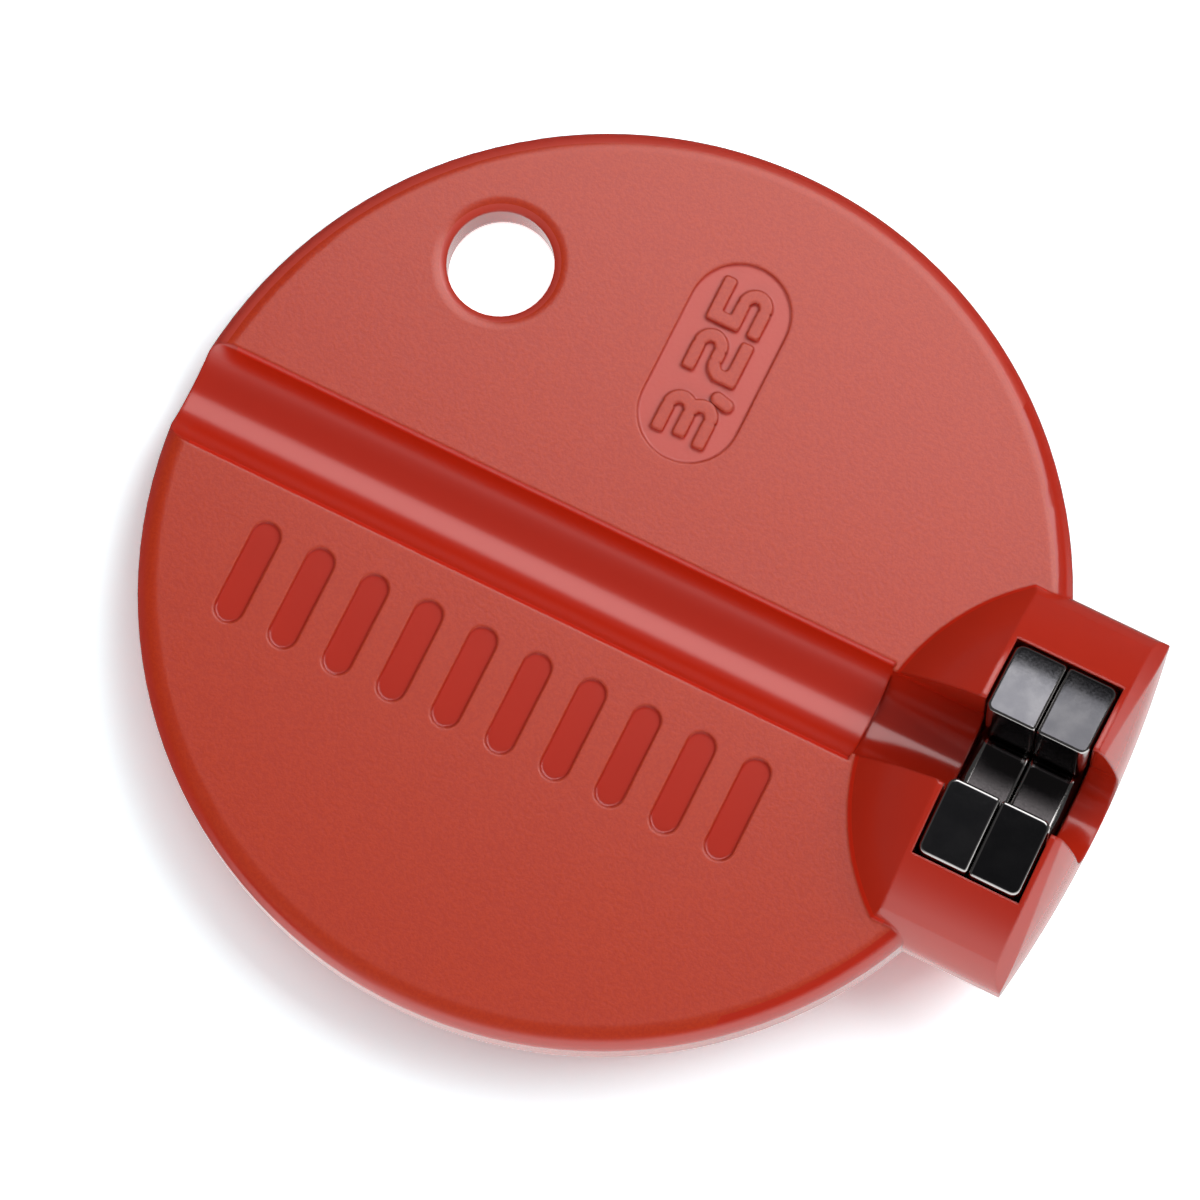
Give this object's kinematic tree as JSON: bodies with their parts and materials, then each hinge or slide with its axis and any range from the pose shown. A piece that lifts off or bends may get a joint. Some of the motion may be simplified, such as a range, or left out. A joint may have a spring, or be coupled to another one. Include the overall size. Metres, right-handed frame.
{
  "type": "spoke wrench",
  "caption": "Pocket spoke wrench: a round moulded disc handle with a spoke trough across it and a steel jaw for square spoke nipples in its thick head.",
  "frame": {"origin": "centre of the overall box in plan, at the head's lowest point at the back", "axes": "+X along the spoke trough towards the head, +Z out of the front face"},
  "size_m": [0.0456, 0.042, 0.0116],
  "materials": {
    "red_plastic": "glossy moulded plastic with a fine matte texture on the front face",
    "blackened_steel": "hardened steel, blackened, tumbled edges"
  },
  "bodies": {
    "root": {"handle": "red_plastic", "inner_jaw_plate": "blackened_steel", "outer_jaw_plate": "blackened_steel"}
  },
  "joints": []
}
